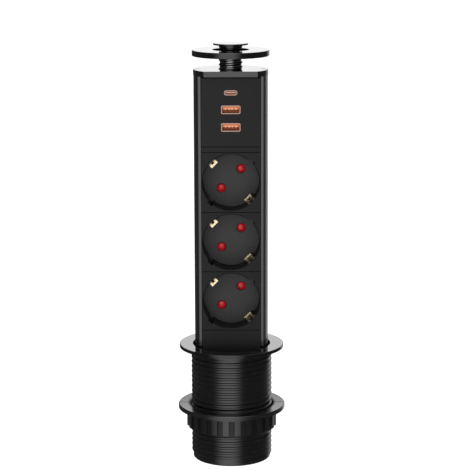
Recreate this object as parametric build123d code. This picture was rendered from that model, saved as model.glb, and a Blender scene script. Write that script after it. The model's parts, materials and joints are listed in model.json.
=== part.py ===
from build123d import *
import math
import os

os.makedirs("parts", exist_ok=True)

# A pop up desk socket: a round tower with three earthed sockets and three USB ports,
# which slides through a threaded collar clamped in a desk top.
# All sizes are in millimetres. The origin is on the axis at the top of the desk,
# +Z is up, and the sockets face -Y. The tower is modelled raised.

# General
overrun = 2.0
face_gap = 0.1
joint_line = 0.15

# Collar: flange, barrel and its outer thread
gasket_thickness = 0.6
gasket_outer_radius = 33.0
gasket_inner_radius = 29.2
plate_thickness = 1.0
plate_radius = 35.0
trim_thickness = 0.8
trim_skirt_wall = 0.9
trim_desk_gap = 0.15
trim_edge_round = 0.5
trim_mouth_chamfer = 0.35
spigot_radius = 27.95
spigot_depth = 3.4
thread_pitch = 3.5
thread_root_radius = 27.0
thread_depth = 0.9
thread_base_width = 2.0
thread_tip_width = 1.0
thread_bottom_depth = 75.4
plain_end_radius = 26.9
plain_end_length = 3.6
barrel_edge_chamfer = 0.6
thread_sink_share = 0.3

# Clamp under the desk
desk_thickness = 40.5
washer_radius = 37.0
washer_thickness = 3.0
washer_clearance = 0.4
washer_lip_chamfer = 1.0
washer_edge_chamfer = 0.5
washer_line_width = 0.6
washer_line_depth = 0.4
nut_gap = 0.3
nut_core_radius = 29.8
nut_rib_radius = 31.3
nut_rib_width = 4.1
nut_rib_count = 24
nut_rib_sink = 0.8
nut_band_height = 1.8
nut_ribbed_height = 12.2
nut_skirt_height = 1.6
nut_edge_chamfer = 0.4
nut_radial_clearance = 0.3
nut_axial_clearance = 0.4

# Tower section
tower_radius = 25.3
tower_wall = 1.6
lip_depth = 12.4
panel_depth = 14.8
panel_half_width = 20.1
extrusion_length = 255.1
port_place_radius = 22.6
port_radius = 2.2
port_angles = (0, 90, 180)
screw_radius = 1.5
screw_fit = 0.05
screw_head_radius = 2.4
screw_head_height = 1.5
screw_length = 13.0

# Height of the raised tower: its top face above the flange
raised_height = 190.5

# Panels that close the open front of the extrusion
plate_wall = 2.2
rail_wall = 1.2
rail_back_depth = 8.6
wing_front_depth = 10.6
slide_clearance = 0.15
panel_edge_chamfer = 0.25
panel_top_gap = 0.7
spacer_height = 3.7
module_pitch = 41.1
module_count = 3

# Socket wells and what is behind them
well_radius = 19.3
well_depth = 17.5
well_wall = 0.75
well_floor = 1.3
rim_chamfer = 0.5
key_width = 4.4
key_reach = 1.6
key_wall = 1.4
pin_spacing = 19.0
pin_hole_radius = 3.0
pin_hole_chamfer = 0.5
pin_line_angle = 45
shutter_cavity_radius = 13.7
shutter_cavity_depth = 3.4
shutter_plate = 1.9
shutter_back_gap = 0.2
shutter_dome = 1.1
shutter_pad_radius = 3.7
shutter_dome_radius = 2.9
shutter_arm_width = 5.0
shutter_hub_radius = 3.4
pivot_radius = 1.5
pivot_fit = 0.08
carrier_radius = 17.3
carrier_web = 7.2
sleeve_radius = 3.3
sleeve_bore = 2.45
sleeve_length = 11.4
sleeve_slit = 0.8
sleeve_fit = 0.15
clip_thickness = 0.6
clip_width = 5.0
clip_slot = 1.4
clip_back_radius = 17.9
clip_pinch_radius = 16.4
clip_tip_radius = 18.4
clip_pinch_height = 6.0
clip_tip_height = 10.4
clip_window_clearance = 0.4

# Busbars
busbar_thickness = 0.8
busbar_width = 4.0
busbar_insulation = 0.9
busbar_feed_overlap = 4.4
busbar_end_rise = 2.0

# USB ports and their board
usb_c_drop = 10.1
usb_a_upper_drop = 21.5
usb_a_lower_drop = 33.4
usb_c_width = 9.1
usb_c_height = 3.5
usb_a_width = 13.15
usb_a_height = 5.8
usb_shell_wall = 0.35
usb_shell_depth = 9.0
usb_window_clearance = 0.15
usb_tongue_setback = 1.1
usb_tongue_base = 1.6
usb_a_tongue_width = 11.1
usb_a_tongue_thickness = 1.9
usb_a_tongue_rise = 1.1
usb_c_tongue_width = 6.7
usb_c_tongue_thickness = 0.7
board_half_width = 16.0
board_thickness = 1.6
board_top_drop = 8.8
board_height = 36.0
board_bottom_margin = 1.9
post_radius = 1.8
post_inset = 3.4
transformer_half_width = 8.6
transformer_depth = 14.0
transformer_height = 15.0
transformer_top_drop = 16.0
transformer_corner = 1.2
capacitor_radius = 3.6
capacitor_length = 12.0
capacitor_offset = 12.4
feed_half_width = 12.6
feed_height = 6.4
feed_overhang = 0.2

# Cap with the threaded boss for the lid stem
cap_radius = 25.5
cap_thickness = 3.8
cap_flat_depth = 18.0
cap_edge_chamfer = 0.3
cap_notch_width = 1.6
cap_notch_reach = 0.9
plug_fit = 0.2
plug_wall = 2.0
plug_height = 4.0
plug_front_depth = 8.0
boss_radius = 11.4
boss_height = 8.9
key_slot_width = 3.0
key_slot_radius = 9.9
key_slot_below_cap = 0.7

# Lid, its threaded stem and the ring that keeps it
lid_radius = 26.3
lid_thickness = 4.0
lid_rise = 9.0
lid_edge_round = 0.35
lid_recess_clearance = 0.4
lid_seat_thickness = 1.1
lid_seat_gap = 0.2
stem_pitch = 3.0
stem_root_radius = 7.4
stem_thread_depth = 0.7
stem_base_width = 1.7
stem_tip_width = 0.9
stem_radial_clearance = 0.25
stem_axial_clearance = 0.3
stem_length = 13.5
stem_bore_radius = 6.6
stem_floor = 1.2
stem_turns_down = 2
stem_flange_radius = 10.9
stem_flange_thickness = 0.7
neck_radius = 4.4
neck_bore_radius = 3.0
screw_passage_clearance = 0.3
neck_length = 2.6
neck_groove_depth = 0.8
retainer_thickness = 1.0
retainer_radius = 7.4
retainer_lug_radius = 9.6
retainer_lug_width = 2.6
retainer_fit = 0.07
retainer_drop = 0.5
clip_ring_radius = 5.4
clip_ring_thickness = 0.5
clip_ring_fit = 0.05
clip_ring_mouth = 3.0
lid_screw_count = 3
lid_screw_place_radius = 9.4
lid_screw_radius = 0.6
lid_screw_head_radius = 1.2
lid_screw_head_height = 0.5
lid_screw_length = 1.9

# Knob that sinks flush into the lid
knob_radius = 12.0
knob_thickness = 1.2
knob_recess_clearance = 0.45
knob_recess_floor_gap = 0.1
knob_pop = 4.5
knob_boss_radius = 7.95
knob_boss_height = 2.0
knob_boss_clearance = 0.25
knob_rod_radius = 6.4
knob_rod_length = 11.6
knob_edge_round = 0.25
knob_screw_bite = 5.0
knob_screw_head_radius = 2.6
knob_screw_head_height = 1.6
spring_wire_radius = 0.25
spring_coil_radius = 4.6
spring_turns = 4
spring_end_gap = 0.3

# Base of the tower: cap, cable gland and terminals
base_height = 6.6
base_edge_chamfer = 0.8
gland_thread_radius = 8.0
gland_hex_radius = 10.5
gland_hex_height = 3.0
gland_tail_radius = 7.0
gland_tail_length = 4.4
gland_bore_radius = 4.0
gland_fit = 0.1
locknut_radius = 11.0
locknut_height = 3.0
gland_above_locknut = 0.6
gland_nut_radius = 9.5
gland_nut_end = 1.0
gland_nut_gap = 0.4
gland_nut_hole_radius = 4.2
gland_nut_grip_count = 12
gland_nut_grip_radius = 0.9
gland_seal_radius = 6.0
gland_seal_bore = 4.1
gland_seal_height = 3.0
pedestal_front_depth = 11.4
pedestal_height = 6.0
terminal_half_width = 13.0
terminal_front_depth = 4.8
terminal_height = 14.0
terminal_spacing = 8.0
terminal_screw_radius = 1.7
terminal_screw_length = 3.6
terminal_screw_recess = 0.7
terminal_slot_width = 0.6
terminal_slot_depth = 0.6
terminal_entry_radius = 1.7
terminal_entry_depth = 5.0
terminal_fit = 0.05

# Guide block in front of the tower
guide_clearance = 0.3
guide_top_gap = 0.6
guide_stop_gap = 0.3
guide_chamfer = 1.0
bore_clearance = 0.3
bond_gap = 0.05

# Levels and radii that follow from the sizes above
flange_top = gasket_thickness + plate_thickness + trim_thickness
plate_top = gasket_thickness + plate_thickness
trim_radius = plate_radius + face_gap + trim_skirt_wall
thread_crest_radius = thread_root_radius + thread_depth
barrel_depth = thread_bottom_depth + plain_end_length
bore_radius = cap_radius + bore_clearance
inner_radius = tower_radius - tower_wall

cap_top = flange_top + raised_height
cap_bottom = cap_top - cap_thickness
base_top = cap_bottom - extrusion_length
base_bottom = base_top - base_height
panel_top = cap_bottom - panel_top_gap
board_top = panel_top - board_top_drop
board_bottom = board_top - board_height
usb_panel_bottom = board_bottom - board_bottom_margin
spacer_bottom = usb_panel_bottom - spacer_height
sockets_bottom = spacer_bottom - module_count * module_pitch

lid_bottom = cap_top + lid_rise
lid_top = lid_bottom + lid_thickness
lid_travel = stem_turns_down * stem_pitch
tower_travel = lid_top - lid_travel - flange_top
recess_radius = lid_radius + lid_recess_clearance
seat_top = flange_top - lid_thickness - lid_seat_gap
seat_bottom = seat_top - lid_seat_thickness

panel_front = -panel_depth
floor_front = panel_front + well_depth
floor_back = floor_front + well_floor
cavity_back = floor_back + shutter_cavity_depth
carrier_back = cavity_back + carrier_web
clip_back = carrier_back + face_gap
strap_back = clip_back + clip_thickness
busbar_front = strap_back + busbar_insulation
board_front = panel_front + usb_shell_depth
board_back = board_front + board_thickness
feed_bottom = board_bottom - feed_overhang
pin_reach = pin_spacing / 2

stem_bottom = lid_bottom - stem_length
stem_floor_top = stem_bottom + stem_floor
retainer_top = stem_bottom - retainer_drop
retainer_bottom = retainer_top - retainer_thickness
clip_ring_top = retainer_bottom - retainer_drop / 2
knob_top = lid_top + knob_pop
knob_under = knob_top - knob_thickness
boss_under = knob_under - knob_boss_height
rod_bottom = boss_under - knob_rod_length
washer_top = -desk_thickness
washer_bottom = washer_top - washer_thickness
nut_top = washer_bottom - nut_gap


# Plain solids between two levels
def disc(radius, low, high):
    return Pos(0, 0, (low + high) / 2) * Cylinder(radius, high - low)


def ring(outer, inner, low, high):
    return disc(outer, low, high) - disc(inner, low - overrun, high + overrun)


def block(left, right, near, far, low, high):
    middle = Pos((left + right) / 2, (near + far) / 2, (low + high) / 2)
    return middle * Box(right - left, far - near, high - low)


def bar(radius, x, z, near, far):
    return Pos(x, (near + far) / 2, z) * Rot(X=90) * Cylinder(radius, far - near)


def funnel(mouth_radius, throat_radius, x, z, near, far):
    return Pos(x, (near + far) / 2, z) * Rot(X=90) * Cone(throat_radius, mouth_radius, far - near)


def dome(radius, height):
    # A shallow cap of a ball that stands out towards -Y
    ball = (radius ** 2 + height ** 2) / (2 * height)
    slope = math.asin(radius / ball) / 2
    middle = (ball * math.sin(slope), ball - height - ball * math.cos(slope))
    outline = [
        Line((0, 0), (radius, 0)),
        ThreePointArc((radius, 0), middle, (0, -height)),
        Line((0, -height), (0, 0)),
    ]
    return revolve(make_face(Curve() + outline), axis=Axis.Y)


def countersink(x, y, face, direction):
    # A flat-headed screw whose head is flush with a face; direction is +1 where it goes up
    head = Cone(screw_head_radius, screw_radius, screw_head_height)
    if direction < 0:
        head = Cone(screw_radius, screw_head_radius, screw_head_height)
    head_middle = face + direction * screw_head_height / 2
    shank_middle = face + direction * screw_length / 2
    shank = Pos(x, y, shank_middle) * Cylinder(screw_radius, screw_length)
    return Pos(x, y, head_middle) * head + shank


def port_places():
    for angle in port_angles:
        turn = math.radians(angle)
        yield port_place_radius * math.cos(turn), port_place_radius * math.sin(turn)


# A single-start right-hand thread: a plain core with a ridge swept along a helix
def threaded_rod(root, depth, pitch, base_width, tip_width, low, high, start):
    # start is the level at which the ridge crosses the +X side
    crest = root + depth
    sunk = root - depth * thread_sink_share
    flank = (base_width - tip_width) / 2
    half_base = base_width / 2 + flank * thread_sink_share
    half_tip = tip_width / 2
    first = start + (math.floor((low - start) / pitch) - 1) * pitch
    turns = math.ceil((high - first) / pitch) + 1
    outline = Polyline(
        (sunk, 0, first - half_base), (crest, 0, first - half_tip),
        (crest, 0, first + half_tip), (sunk, 0, first + half_base), close=True,
    )
    path = Helix(pitch, turns * pitch, root, center=(0, 0, first))
    ridge = sweep(make_face(outline), path=path, is_frenet=True)
    return disc(root, low, high) + (ridge & disc(crest + depth, low, high))


# Collar
def collar_body():
    thread_low = -thread_bottom_depth
    barrel_low = -barrel_depth
    body = threaded_rod(
        thread_root_radius, thread_depth, thread_pitch, thread_base_width, thread_tip_width,
        thread_low, -spigot_depth, thread_low,
    )
    plain_end = disc(plain_end_radius, barrel_low, thread_low)
    plain_end = chamfer(plain_end.edges().group_by(Axis.Z)[0], barrel_edge_chamfer)
    body = body + plain_end + disc(spigot_radius, -spigot_depth, plate_top)
    body += disc(plate_radius, gasket_thickness, plate_top)
    body -= disc(bore_radius, barrel_low - overrun, plate_top + overrun)
    body -= disc(recess_radius, seat_bottom, plate_top + overrun)
    return body


def flange_trim():
    trim = disc(trim_radius, trim_desk_gap, flange_top)
    trim = fillet(trim.edges().group_by(Axis.Z)[-1], trim_edge_round)
    trim -= disc(plate_radius + face_gap, trim_desk_gap - overrun, plate_top)
    trim -= disc(recess_radius, plate_top - overrun, flange_top + overrun)
    mouth = trim.edges().filter_by(GeomType.CIRCLE).group_by(Axis.Z)[-1].sort_by(SortBy.RADIUS)[0]
    return chamfer(mouth, trim_mouth_chamfer)


def desk_gasket():
    return ring(gasket_outer_radius, gasket_inner_radius, 0, gasket_thickness)


def lid_seat_ring():
    return ring(recess_radius - bond_gap, bore_radius, seat_bottom, seat_top)


def guide_block():
    low = base_top + guide_stop_gap
    high = cap_bottom - tower_travel - guide_top_gap
    body = disc(bore_radius - bond_gap, low, high)
    behind = -panel_depth - guide_clearance
    body -= block(-bore_radius, bore_radius, behind, bore_radius, low - overrun, high + overrun)
    edge = body.edges().group_by(Axis.Z)[-1].sort_by(Axis.Y)[-1]
    return chamfer(edge, guide_chamfer)


# Clamp
def clamp_washer():
    body = ring(washer_radius, thread_crest_radius + washer_clearance, washer_bottom, washer_top)
    top_edges = body.edges().group_by(Axis.Z)[-1].sort_by(SortBy.RADIUS)
    body = chamfer(top_edges[0], washer_lip_chamfer)
    top_edges = body.edges().group_by(Axis.Z)[-1].sort_by(SortBy.RADIUS)
    body = chamfer(top_edges[-1], washer_edge_chamfer)
    half_line = washer_line_width / 2
    reach = washer_radius + overrun
    line_floor = washer_top - washer_line_depth
    body -= block(-reach, reach, -half_line, half_line, line_floor, washer_top + overrun)
    return body


def clamp_nut():
    ribs_bottom = nut_top - nut_ribbed_height
    bottom = ribs_bottom - nut_skirt_height
    body = disc(nut_core_radius, bottom, nut_top) + disc(nut_rib_radius, nut_top - nut_band_height, nut_top)
    rib_inner = nut_core_radius - nut_rib_sink
    half_rib = nut_rib_width / 2
    rib = block(rib_inner, nut_rib_radius + overrun, -half_rib, half_rib, ribs_bottom, nut_top)
    for number in range(nut_rib_count):
        body += Rot(Z=360 * (number + 1 / 2) / nut_rib_count) * rib
    body &= disc(nut_rib_radius, bottom, nut_top)
    body = chamfer(body.edges().group_by(Axis.Z)[0], nut_edge_chamfer)
    tap = threaded_rod(
        thread_root_radius + nut_radial_clearance, thread_depth, thread_pitch,
        thread_base_width + 2 * nut_axial_clearance, thread_tip_width + 2 * nut_axial_clearance,
        bottom - overrun, nut_top + overrun, -thread_bottom_depth,
    )
    return body - tap


# Tower housing
def tower_extrusion():
    body = ring(tower_radius, inner_radius, base_top, cap_bottom)
    for x, y in port_places():
        body += Pos(x, y, (base_top + cap_bottom) / 2) * Cylinder(port_radius, extrusion_length)
    body &= disc(tower_radius, base_top, cap_bottom)
    for x, y in port_places():
        hole = Cylinder(screw_radius + screw_fit, extrusion_length + overrun)
        body -= Pos(x, y, (base_top + cap_bottom) / 2) * hole
    low = base_top - overrun
    high = cap_bottom + overrun
    body -= block(-tower_radius, tower_radius, -tower_radius - overrun, -lip_depth, low, high)
    return body


def plug_outline(low, high):
    # What fits inside the extrusion behind the panels
    body = disc(inner_radius - plug_fit, low, high)
    wide = tower_radius
    body -= block(-wide, wide, -wide, -plug_front_depth, low - overrun, high + overrun)
    for x, y in port_places():
        body -= Pos(x, y, (low + high) / 2) * Cylinder(port_radius + plug_fit, high - low + overrun)
    return body


def tower_cap():
    body = disc(cap_radius, cap_bottom, cap_top)
    body = chamfer(body.edges().group_by(Axis.Z)[-1], cap_edge_chamfer)
    wide = cap_radius + overrun
    body -= block(-wide, wide, -wide, -cap_flat_depth, cap_bottom - overrun, cap_top + overrun)
    plug_bottom = cap_bottom - plug_height
    plug = plug_outline(plug_bottom, cap_bottom)
    plug -= disc(inner_radius - plug_fit - plug_wall, plug_bottom - overrun, cap_bottom)
    boss_bottom = cap_bottom - boss_height
    body += plug + disc(boss_radius, boss_bottom, cap_bottom)
    tap = threaded_rod(
        stem_root_radius + stem_radial_clearance, stem_thread_depth, stem_pitch,
        stem_base_width + 2 * stem_axial_clearance, stem_tip_width + 2 * stem_axial_clearance,
        boss_bottom - overrun, cap_top + overrun, stem_bottom,
    )
    body -= tap
    half_slot = key_slot_width / 2
    slot_top = cap_bottom - key_slot_below_cap
    body -= block(-key_slot_radius, key_slot_radius, -half_slot, half_slot, boss_bottom - overrun, slot_top)
    for side in (-1, 1):
        notch = Box(2 * cap_notch_reach, cap_notch_width, cap_thickness + overrun)
        body -= Pos(side * cap_radius, 0, (cap_bottom + cap_top) / 2) * notch
    for x, y in port_places():
        body -= countersink(x, y, cap_top, -1)
    return body


def cap_screws():
    screws = [countersink(x, y, cap_top, -1) for x, y in port_places()]
    return Compound(children=[solid for screw in screws for solid in screw.solids()])


# Panels in the open front
def panel_section(low, high):
    wing_reach = math.sqrt(inner_radius ** 2 - wing_front_depth ** 2) - slide_clearance
    rail_inner = panel_half_width - rail_wall
    rail_back = -rail_back_depth
    front = block(-panel_half_width, panel_half_width, panel_front, panel_front + plate_wall, low, high)
    front = chamfer(front.edges().group_by(Axis.Y)[0], panel_edge_chamfer)
    body = front
    for side in (-1, 1):
        edges = sorted((side * rail_inner, side * panel_half_width))
        body += block(edges[0], edges[1], panel_front + plate_wall / 2, rail_back, low, high)
        edges = sorted((side * rail_inner, side * wing_reach))
        body += block(edges[0], edges[1], -wing_front_depth, rail_back, low, high)
    return body


def spacer_strip():
    return panel_section(spacer_bottom + joint_line / 2, usb_panel_bottom - joint_line / 2)


def lower_panel():
    return panel_section(base_top + face_gap, sockets_bottom - joint_line / 2)


def stadium(width, height, near, far, z):
    half_flat = (width - height) / 2
    body = block(-half_flat, half_flat, near, far, z - height / 2, z + height / 2)
    for side in (-1, 1):
        body += bar(height / 2, side * half_flat, z, near, far)
    return body


def slab(width, height, near, far, z):
    return block(-width / 2, width / 2, near, far, z - height / 2, z + height / 2)


def usb_ports():
    # Name, outline, width, height and centre of each port
    return [
        ("usb_c", stadium, usb_c_width, usb_c_height, panel_top - usb_c_drop),
        ("usb_a_upper", slab, usb_a_width, usb_a_height, panel_top - usb_a_upper_drop),
        ("usb_a_lower", slab, usb_a_width, usb_a_height, panel_top - usb_a_lower_drop),
    ]


def post_places():
    x = board_half_width - post_inset
    for z in (board_top - post_inset, board_bottom + post_inset):
        for side in (-1, 1):
            yield side * x, z


def usb_panel():
    body = panel_section(usb_panel_bottom + joint_line / 2, panel_top)
    for x, z in post_places():
        body += bar(post_radius, x, z, panel_front + plate_wall / 2, board_front)
    grow = 2 * usb_window_clearance
    for name, outline, width, height, z in usb_ports():
        body -= outline(width + grow, height + grow, panel_front - overrun, board_front, z)
    return body


def usb_shell(outline, width, height, z):
    shrink = 2 * usb_shell_wall
    body = outline(width, height, panel_front, board_front, z)
    return body - outline(width - shrink, height - shrink, panel_front - overrun, board_front + overrun, z)


def usb_tongue(outline, width, height, z, tongue_width, tongue_thickness, rise):
    shrink = 2 * (usb_shell_wall + bond_gap)
    base_front = board_front - usb_tongue_base
    body = outline(width - shrink, height - shrink, base_front, board_front, z)
    tip = panel_front + usb_tongue_setback
    return body + slab(tongue_width, tongue_thickness, tip, base_front, z + rise)


def usb_board():
    return block(-board_half_width, board_half_width, board_front, board_back, board_bottom, board_top)


def usb_transformer():
    top = panel_top - transformer_top_drop
    back = board_back + transformer_depth
    low = top - transformer_height
    body = block(-transformer_half_width, transformer_half_width, board_back, back, low, top)
    return chamfer(body.edges().group_by(Axis.Y)[-1], transformer_corner)


def usb_capacitors():
    z = panel_top - transformer_top_drop - transformer_height / 2
    back = board_back + capacitor_length
    cans = [bar(capacitor_radius, side * capacitor_offset, z, board_back, back) for side in (-1, 1)]
    return Compound(children=[solid for can in cans for solid in can.solids()])


def usb_feed_block():
    top = feed_bottom + feed_height
    back = busbar_front - face_gap
    return block(-feed_half_width, feed_half_width, board_back, back, feed_bottom, top)


# Socket modules
def pin_places(centre):
    turn = math.radians(pin_line_angle)
    for side in (-1, 1):
        yield side * pin_reach * math.cos(turn), centre + side * pin_reach * math.sin(turn)


def socket_front(centre):
    half = (module_pitch - joint_line) / 2
    body = panel_section(centre - half, centre + half)
    body += bar(well_radius + well_wall, 0, centre, panel_front + plate_wall / 2, floor_back)
    about = Pos(0, 0, centre)
    key_outer = well_radius + key_reach
    half_key = key_width / 2
    for angle in (pin_line_angle, pin_line_angle + 180):
        wall = key_outer + key_wall
        half_wall = half_key + key_wall
        boss = block(well_radius, wall, panel_front + plate_wall / 2, floor_back, -half_wall, half_wall)
        body += about * Rot(Y=-angle) * boss
    body -= bar(well_radius, 0, centre, panel_front - overrun, floor_front)
    rim = well_radius + rim_chamfer
    body -= funnel(rim, well_radius, 0, centre, panel_front, panel_front + rim_chamfer)
    for angle in (pin_line_angle, pin_line_angle + 180):
        groove = block(0, key_outer, panel_front - overrun, floor_front, -half_key, half_key)
        body -= about * Rot(Y=-angle) * groove
    for x, z in pin_places(centre):
        body -= bar(pin_hole_radius, x, z, floor_front - overrun, floor_back + overrun)
        mouth = pin_hole_radius + pin_hole_chamfer
        body -= funnel(mouth, pin_hole_radius, x, z, floor_front, floor_front + pin_hole_chamfer)
    half_window = clip_width / 2 + clip_window_clearance
    window_inner = clip_back_radius - clip_window_clearance
    window_outer = clip_back_radius + clip_thickness + clip_window_clearance
    for angle in (pin_line_angle + 90, pin_line_angle + 270):
        near = floor_front - overrun
        far = floor_back + overrun
        window = block(window_inner, window_outer, near, far, -half_window, half_window)
        body -= about * Rot(Y=-angle) * window
    return body


def contact_carrier(centre):
    body = bar(carrier_radius, 0, centre, floor_back, carrier_back)
    body -= bar(shutter_cavity_radius, 0, centre, floor_back - overrun, cavity_back)
    body += bar(pivot_radius, 0, centre, floor_back + face_gap, cavity_back + face_gap)
    for x, z in pin_places(centre):
        body -= bar(sleeve_radius + sleeve_fit, x, z, cavity_back - overrun, carrier_back + overrun)
    return body


def pin_contacts(centre):
    front = cavity_back + face_gap
    back = front + sleeve_length
    solids = []
    for x, z in pin_places(centre):
        sleeve = bar(sleeve_radius, x, z, front, back)
        sleeve -= bar(sleeve_bore, x, z, front - overrun, back + overrun)
        half_slit = sleeve_slit / 2
        sleeve -= block(x - half_slit, x + half_slit, front - overrun, back + overrun, z, z + sleeve_radius)
        solids += sleeve.solids()
    return Compound(children=solids)


def earth_clip(centre):
    # Seen along the strip's width: out from the centre, and back into the well
    half = clip_back_radius
    lean = [
        (half, clip_back),
        (half, floor_front),
        (clip_pinch_radius, floor_front - clip_pinch_height),
        (clip_tip_radius, floor_front - clip_tip_height),
    ]
    right = [(x, y) for x, y in reversed(lean)]
    left = [(-x, y) for x, y in lean]
    strip = Polyline(*right, *left)
    outline = offset(strip, amount=clip_thickness, side=Side.RIGHT, closed=True)
    face = make_face(outline)
    body = extrude(face, amount=clip_width / 2, both=True)
    half_slot = clip_slot / 2
    reach = carrier_radius + overrun
    slot_front = floor_front - clip_tip_height + clip_thickness
    body -= block(-reach, reach, slot_front, floor_front - clip_thickness, -half_slot, half_slot)
    return Pos(0, 0, centre) * Rot(Y=-(pin_line_angle + 90)) * body


def shutter(centre):
    back = cavity_back - shutter_back_gap
    front = back - shutter_plate
    along = pin_reach
    body = bar(shutter_hub_radius, 0, 0, front, back)
    half_arm = shutter_arm_width / 2
    body += block(-along, along, front, back, -half_arm, half_arm)
    for side in (-1, 1):
        pad = bar(shutter_pad_radius, side * along, 0, front, back)
        body += pad + Pos(side * along, front, 0) * dome(shutter_dome_radius, shutter_dome)
    body -= bar(pivot_radius + pivot_fit, 0, 0, front - overrun, back + overrun)
    return Pos(0, 0, centre) * Rot(Y=-pin_line_angle) * body


# Busbars, terminals and base
def contact_busbar(side):
    turn = math.radians(pin_line_angle)
    inner = pin_reach * math.cos(turn) + sleeve_radius + face_gap
    edges = sorted((side * inner, side * (inner + busbar_thickness)))
    low = base_top + plug_height + pedestal_height + busbar_end_rise
    high = feed_bottom + busbar_feed_overlap
    return block(edges[0], edges[1], busbar_front, busbar_front + busbar_width, low, high)


def earth_busbar():
    low = base_top + plug_height + pedestal_height + busbar_end_rise
    high = spacer_bottom - module_pitch / 2 + busbar_width
    front = strap_back + face_gap
    return block(-busbar_width / 2, busbar_width / 2, front, front + busbar_thickness, low, high)


def terminal_places():
    for number in (-1, 0, 1):
        yield number * terminal_spacing


def terminal_block():
    low = base_top + plug_height + pedestal_height
    high = low + terminal_height
    front = terminal_front_depth
    body = block(-terminal_half_width, terminal_half_width, front, strap_back, low, high)
    z = (low + high) / 2
    for x in terminal_places():
        depth = terminal_screw_recess + terminal_screw_length + terminal_fit
        body -= bar(terminal_screw_radius + terminal_fit, x, z, front - overrun, front + depth)
        entry = Cylinder(terminal_entry_radius, 2 * terminal_entry_depth)
        body -= Pos(x, (pedestal_front_depth + front) / 2, low) * entry
    return body


def terminal_screws():
    z = base_top + plug_height + pedestal_height + terminal_height / 2
    front = terminal_front_depth + terminal_screw_recess
    solids = []
    half_slot = terminal_slot_width / 2
    slot_back = front + terminal_slot_depth
    reach = terminal_screw_radius + overrun
    for x in terminal_places():
        screw = bar(terminal_screw_radius, x, z, front, front + terminal_screw_length)
        screw -= block(x - reach, x + reach, front - overrun, slot_back, z - half_slot, z + half_slot)
        solids += screw.solids()
    return Compound(children=solids)


def base_cap():
    body = disc(cap_radius, base_bottom, base_top)
    body = chamfer(body.edges().group_by(Axis.Z)[0], base_edge_chamfer)
    plug_top = base_top + plug_height
    body += plug_outline(base_top, plug_top)
    half = terminal_half_width
    low = plug_top - overrun
    body += block(-half, half, pedestal_front_depth, strap_back, low, plug_top + pedestal_height)
    body -= disc(gland_thread_radius + gland_fit, base_bottom - overrun, plug_top + overrun)
    for x, y in port_places():
        body -= countersink(x, y, base_bottom, 1)
    return body


def base_screws():
    screws = [countersink(x, y, base_bottom, 1) for x, y in port_places()]
    return Compound(children=[solid for screw in screws for solid in screw.solids()])


def hexagon(radius, low, high):
    return Pos(0, 0, low) * extrude(RegularPolygon(radius, 6), amount=high - low)


def cable_gland():
    plug_top = base_top + plug_height
    top = plug_top + locknut_height + gland_above_locknut
    hex_low = base_bottom - gland_hex_height
    tail_low = hex_low - gland_tail_length
    body = disc(gland_thread_radius, base_bottom, top) + hexagon(gland_hex_radius, hex_low, base_bottom)
    body += disc(gland_tail_radius, tail_low, hex_low)
    body -= disc(gland_bore_radius, tail_low - overrun, top + overrun)
    body -= disc(gland_seal_radius + gland_fit, tail_low - overrun, tail_low + gland_seal_height)
    return body


def gland_locknut():
    low = base_top + plug_height
    body = hexagon(locknut_radius, low, low + locknut_height)
    return body - disc(gland_thread_radius + bond_gap, low - overrun, low + locknut_height + overrun)


def gland_seal():
    low = base_bottom - gland_hex_height - gland_tail_length
    return ring(gland_seal_radius, gland_seal_bore, low, low + gland_seal_height - face_gap)


def gland_nut():
    tail_low = base_bottom - gland_hex_height - gland_tail_length
    high = base_bottom - gland_hex_height - gland_nut_gap
    low = tail_low - face_gap - gland_nut_end
    body = disc(gland_nut_radius, low, high)
    body = fillet(body.edges().group_by(Axis.Z)[0], gland_nut_end)
    for number in range(gland_nut_grip_count):
        groove = Pos(gland_nut_radius + gland_nut_grip_radius / 2, 0, (low + high) / 2)
        groove *= Cylinder(gland_nut_grip_radius, high - low + overrun)
        body -= Rot(Z=360 * number / gland_nut_grip_count) * groove
    body -= disc(gland_tail_radius + gland_fit, tail_low - face_gap, high + overrun)
    return body - disc(gland_nut_hole_radius, low - overrun, high)


# Lid
def lid_screw_places():
    for number in range(lid_screw_count):
        turn = 2 * math.pi * number / lid_screw_count
        yield lid_screw_place_radius * math.cos(turn), lid_screw_place_radius * math.sin(turn)


def lid_screw(x, y, grow):
    head_middle = lid_bottom + lid_screw_head_height / 2
    shank_middle = lid_bottom + (lid_screw_length + grow) / 2
    head = Cone(lid_screw_head_radius, lid_screw_radius + grow, lid_screw_head_height)
    head = Pos(x, y, head_middle) * head
    return head + Pos(x, y, shank_middle) * Cylinder(lid_screw_radius + grow, lid_screw_length + grow)


def lid_disc():
    body = disc(lid_radius, lid_bottom, lid_top)
    edges = body.edges().filter_by(GeomType.CIRCLE)
    body = fillet(edges, lid_edge_round)
    knob_recess = knob_thickness + knob_recess_floor_gap
    body -= disc(knob_radius + knob_recess_clearance, lid_top - knob_recess, lid_top + overrun)
    body -= disc(knob_boss_radius + knob_boss_clearance, lid_bottom - overrun, lid_top + overrun)
    flange_room = stem_flange_thickness + face_gap
    body -= disc(stem_flange_radius + face_gap, lid_bottom - overrun, lid_bottom + flange_room)
    for x, y in lid_screw_places():
        body -= lid_screw(x, y, bond_gap)
    return body


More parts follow.
